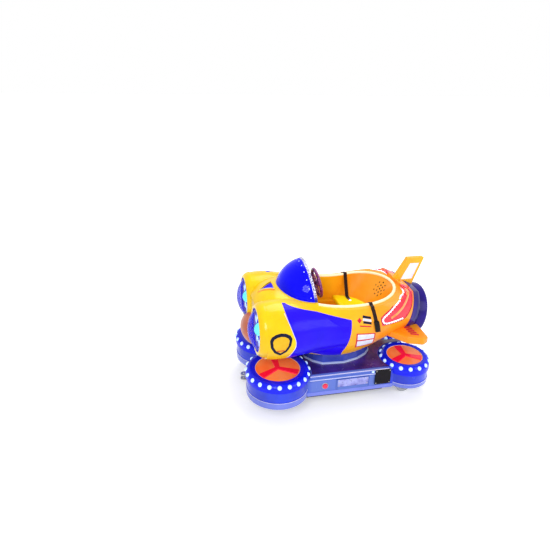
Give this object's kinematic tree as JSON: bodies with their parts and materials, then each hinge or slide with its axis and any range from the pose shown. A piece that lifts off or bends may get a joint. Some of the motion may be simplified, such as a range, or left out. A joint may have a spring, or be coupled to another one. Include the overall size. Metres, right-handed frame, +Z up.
{
  "type": "kiddie train ride car",
  "caption": "Space-ship shaped car of a children's track train: open cockpit with seat, steering wheel and dome, twin lamp barrels, round lit pads, bogies with grooved rail wheels.",
  "frame": {"origin": "on the floor under the centre of the car's bounding box; the floor is where the wheel flanges stand", "axes": "+X forward to the lamps, +Y to the car's left, +Z up"},
  "size_m": [1.4846, 0.9672, 1.0717],
  "materials": {
    "yellow_gelcoat": "glossy moulded glass-fibre, golden yellow",
    "orange_gelcoat": "glossy moulded glass-fibre, orange yellow",
    "blue_gelcoat": "glossy moulded glass-fibre, royal blue",
    "lilac_trim": "glossy pale lilac band",
    "deck_violet": "dark violet tread plate with a wet gloss",
    "plinth_blue": "blue-grey glossy moulding",
    "pad_orange": "orange lit disc",
    "spoke_red": "bright red moulding",
    "chin_terracotta": "terracotta panel with a glitter finish",
    "windscreen_blue": "deep blue glossy dome",
    "lamp_blue": "dark blue lamp face",
    "lamp_mint": "mint coloured lit dome",
    "tail_red": "red lens",
    "rim_white": "warm white light tube",
    "fin_white": "white light panel",
    "thruster_dark": "very dark blue violet moulding",
    "seat_yellow": "glossy yellow seat moulding",
    "maroon_plastic": "glossy maroon plastic",
    "dash_dark": "dark dash moulding",
    "plate_silver": "bare blank plate",
    "sign_black": "blank black sign plate",
    "button_red": "red push button",
    "frame_paint": "dark paint on welded steel",
    "bare_steel": "turned steel",
    "belt_webbing": "dark woven webbing",
    "lens_clear": "clear bulging dome, faintly blue",
    "arch_clear": "clear strip with a glitter inside",
    "buckle_black": "black buckle moulding"
  },
  "bodies": {
    "car": {"base_moulding": "blue_gelcoat", "belt_buckles": "buckle_black", "belt_left": "belt_webbing", "belt_right": "belt_webbing", "chassis_frame": "frame_paint", "chin_panel": "chin_terracotta", "cockpit_body": "orange_gelcoat", "dash": "dash_dark", "deck_plate": "deck_violet", "display_panels": "blue_gelcoat", "display_plates": "plate_silver", "drive_unit": "frame_paint", "fin_frame": "yellow_gelcoat", "fin_light": "fin_white", "front_hitch": "frame_paint", "front_pad_rims": "blue_gelcoat", "hood_intake": "blue_gelcoat", "lamp_dome_left": "lamp_mint", "lamp_dome_right": "lamp_mint", "lamp_face_left": "lamp_blue", "lamp_face_right": "lamp_blue", "lamp_lens_left": "lens_clear", "lamp_lens_right": "lens_clear", "nose_cowl": "yellow_gelcoat", "pad_discs": "pad_orange", "pad_spokes": "spoke_red", "plinth": "plinth_blue", "push_buttons": "button_red", "rear_hitch": "frame_paint", "rear_pad_rims": "blue_gelcoat", "rim_light": "rim_white", "screen_arch": "arch_clear", "seat": "seat_yellow", "side_panel_left": "blue_gelcoat", "side_panel_right": "blue_gelcoat", "sign_plates": "sign_black", "skirt_trim": "lilac_trim", "steering_column": "maroon_plastic", "tail_light_left": "tail_red", "tail_light_right": "tail_red", "thruster_face": "thruster_dark", "thruster_housing": "thruster_dark", "windscreen": "windscreen_blue", "wing_left": "orange_gelcoat", "wing_right": "orange_gelcoat"},
    "front_bogie": {"front_bogie": "frame_paint"},
    "rear_bogie": {"rear_bogie": "frame_paint"},
    "front_wheelset": {"front_axle": "bare_steel", "front_wheels": "bare_steel"},
    "rear_wheelset": {"rear_axle": "bare_steel", "rear_wheels": "bare_steel"},
    "steering": {"steering_wheel": "maroon_plastic"}
  },
  "joints": [
    {"name": "front_bogie_swivel", "type": "hinge", "parent": "car", "child": "front_bogie", "pos_m": [0.505, 0, 0.12], "axis": [0, 0, 1], "range_deg": [-12, 12]},
    {"name": "rear_bogie_swivel", "type": "hinge", "parent": "car", "child": "rear_bogie", "pos_m": [-0.513, 0, 0.12], "axis": [0, 0, 1], "range_deg": [-12, 12]},
    {"name": "front_wheels_roll", "type": "hinge", "parent": "front_bogie", "child": "front_wheelset", "pos_m": [0.505, 0, 0.06], "axis": [0, 1, 0], "continuous": true},
    {"name": "rear_wheels_roll", "type": "hinge", "parent": "rear_bogie", "child": "rear_wheelset", "pos_m": [-0.513, 0, 0.06], "axis": [0, 1, 0], "continuous": true},
    {"name": "steering_turn", "type": "hinge", "parent": "car", "child": "steering", "pos_m": [0.16, 0, 0.876], "axis": [-0.9781, 0, 0.2079], "continuous": true}
  ]
}
